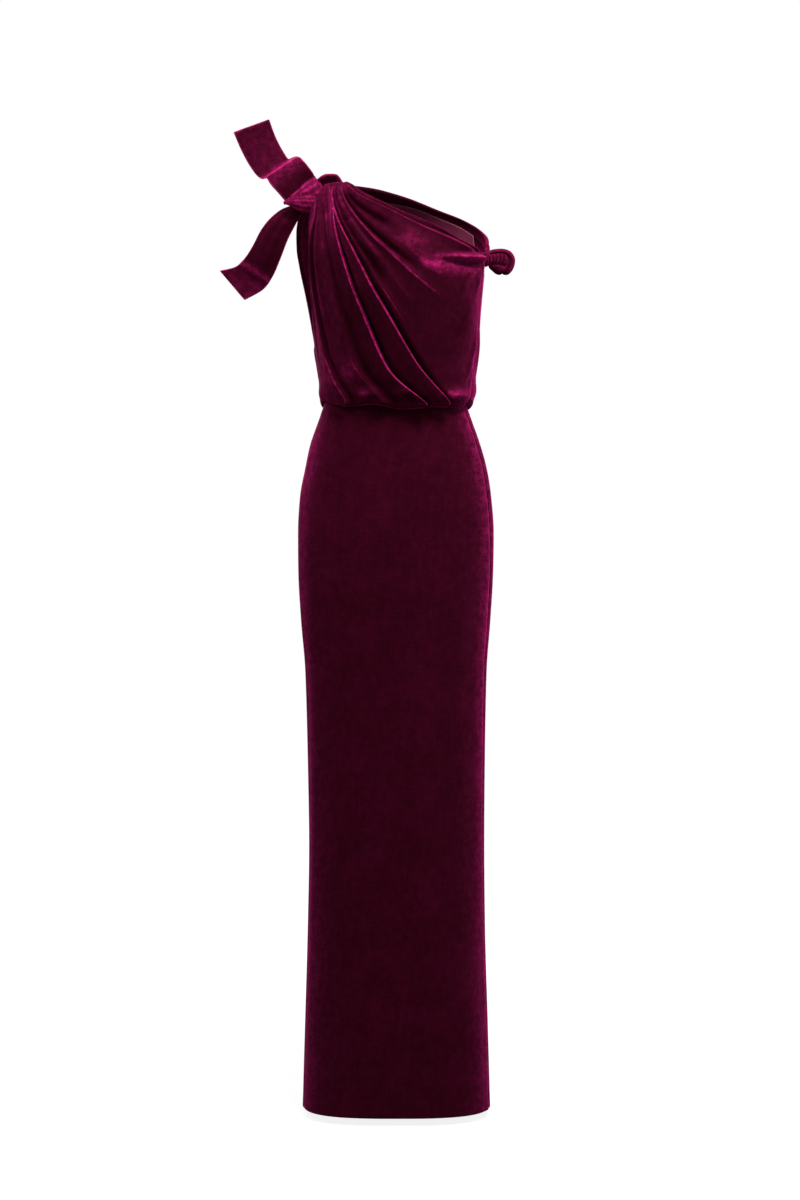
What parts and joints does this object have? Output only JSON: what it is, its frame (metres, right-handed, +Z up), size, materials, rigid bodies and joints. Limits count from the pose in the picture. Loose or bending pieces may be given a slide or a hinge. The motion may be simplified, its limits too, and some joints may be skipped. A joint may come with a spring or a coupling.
{
  "type": "column gown",
  "caption": "Floor-length one-shoulder velvet column gown with a draped, bloused bodice, a knotted shoulder with two free ends, and a small knot under the other arm.",
  "frame": {"origin": "underside of the roll over the wearer's shoulder, where the shoulder holds the gown up", "axes": "+Z up, +Y from the front of the gown to its back, +X towards the gown's bare shoulder"},
  "size_m": [0.4895, 0.255, 1.6291],
  "materials": {
    "velvet": "deep berry silk-blend velvet, matt in its folds and glowing along its edges",
    "lining": "brown-maroon lining with a soft low gloss"
  },
  "bodies": {
    "root": {"bodice_front": "velvet", "bodice_back": "velvet", "back_neck_facing": "velvet", "back_lining": "lining", "skirt_front": "velvet", "skirt_back_left": "velvet", "skirt_back_right": "velvet", "shoulder_knot_wrap": "velvet", "shoulder_knot_roll": "velvet", "side_knot_wrap": "velvet", "side_knot_loop": "velvet", "side_knot_end": "velvet", "tail_upper": "velvet", "tail_lower": "velvet"}
  },
  "joints": []
}
